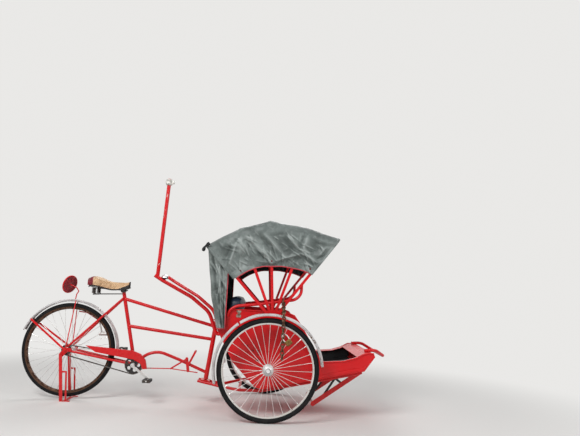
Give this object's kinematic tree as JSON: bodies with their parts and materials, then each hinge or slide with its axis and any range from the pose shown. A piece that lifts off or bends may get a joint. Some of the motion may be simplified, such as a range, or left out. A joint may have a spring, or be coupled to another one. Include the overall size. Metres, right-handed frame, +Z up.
{
  "type": "cycle rickshaw",
  "caption": "Pedal rickshaw with a front passenger cab on wire wheels, fan-shaped folding hood, steered head, rear drive wheel and flip-down rear stand.",
  "frame": {"origin": "floor level at the middle of the overall length and width", "axes": "+X towards the passengers' feet, +Z up, +Y to the rider's left"},
  "size_m": [2.8014, 1.236, 1.7056],
  "materials": {
    "red_paint": "gloss enamel, chipped",
    "white_paint": "gloss enamel",
    "silver_paint": "aluminium paint, dulled",
    "rusty_steel": "worn plating with rust",
    "bright_steel": "plain spokes",
    "black_steel": "black enamel, worn",
    "chrome": "plated",
    "brass": "dull",
    "tyre": "dusty",
    "red_lens": "moulded",
    "white_plastic": "tape",
    "black_rubber": "moulded",
    "saddle_leather": "tan, worn",
    "canvas": "grey-green coated canvas",
    "blue_vinyl": "dark blue leathercloth"
  },
  "bodies": {
    "root": {"head_tube": "red_paint", "seat_tube": "red_paint", "top_tube": "red_paint", "middle_tube": "red_paint", "down_tube": "red_paint", "chain_stays": "red_paint", "seat_stays": "red_paint", "axle_plates": "red_paint", "mudguard_stays": "red_paint", "reflector_stay": "red_paint", "chain_case": "red_paint", "foot_brake": "red_paint", "mudguard_rear": "silver_paint", "reflector": "red_lens", "saddle_frame": "black_steel", "saddle_springs": "black_steel", "saddle": "saddle_leather", "chain": "black_steel", "dynamo": "bright_steel"},
    "rear_wheel": {"tyre_rear": "tyre", "rim_rear": "rusty_steel", "hub_rear": "bright_steel", "spokes_rear": "bright_steel"},
    "cranks": {"crankset": "black_steel"},
    "pedal_right": {"pedal_right": "black_rubber"},
    "pedal_left": {"pedal_left": "black_rubber"},
    "stand": {"rear_stand": "red_paint"},
    "cab": {"side_panel_right": "red_paint", "side_panel_left": "red_paint", "tub": "red_paint", "seat_deck": "red_paint", "front_board": "red_paint", "loop_bar": "red_paint", "chassis": "red_paint", "skid": "red_paint", "armrests": "red_paint", "hood_bows": "red_paint", "handlebar": "red_paint", "umbrella_tube": "red_paint", "front_axle": "bright_steel", "skid_braces": "black_steel", "hood_canvas": "canvas", "hood_curtain": "canvas", "seat_cushion": "blue_vinyl", "back_cushion": "blue_vinyl", "mudguard_right": "silver_paint", "mudguard_left": "silver_paint", "tube_wrap": "white_plastic", "bell": "chrome", "latch": "chrome", "lock_chain": "rusty_steel", "padlock": "brass"},
    "wheel_right": {"tyre_right": "tyre", "rim_right": "white_paint", "hub_right": "bright_steel", "spokes_right": "bright_steel"},
    "wheel_left": {"tyre_left": "tyre", "rim_left": "white_paint", "hub_left": "bright_steel", "spokes_left": "bright_steel"}
  },
  "joints": [
    {"name": "rear_wheel_spin", "type": "hinge", "parent": "root", "child": "rear_wheel", "pos_m": [-1.042, 0, 0.372], "axis": [0, 1, 0], "continuous": true},
    {"name": "crank_spin", "type": "hinge", "parent": "root", "child": "cranks", "pos_m": [-0.527, 0, 0.28], "axis": [0, 1, 0], "continuous": true},
    {"name": "steering", "type": "hinge", "parent": "root", "child": "cab", "pos_m": [0.058, 0, 0.403], "axis": [0.1219, 0, 0.9925], "range_deg": [-45, 45]},
    {"name": "stand_swing", "type": "hinge", "parent": "root", "child": "stand", "pos_m": [-1.067, 0, 0.34], "axis": [0, 1, 0], "range_deg": [0, 100]},
    {"name": "right_wheel_spin", "type": "hinge", "parent": "cab", "child": "wheel_right", "pos_m": [0.503, -0.56, 0.356], "axis": [0, 1, 0], "continuous": true},
    {"name": "left_wheel_spin", "type": "hinge", "parent": "cab", "child": "wheel_left", "pos_m": [0.503, 0.56, 0.356], "axis": [0, 1, 0], "continuous": true},
    {"name": "pedal_right_spin", "type": "hinge", "parent": "cranks", "child": "pedal_right", "pos_m": [-0.39351, -0.141, 0.18302], "axis": [0, 1, 0], "continuous": true},
    {"name": "pedal_left_spin", "type": "hinge", "parent": "cranks", "child": "pedal_left", "pos_m": [-0.66049, 0.141, 0.37698], "axis": [0, 1, 0], "continuous": true}
  ]
}
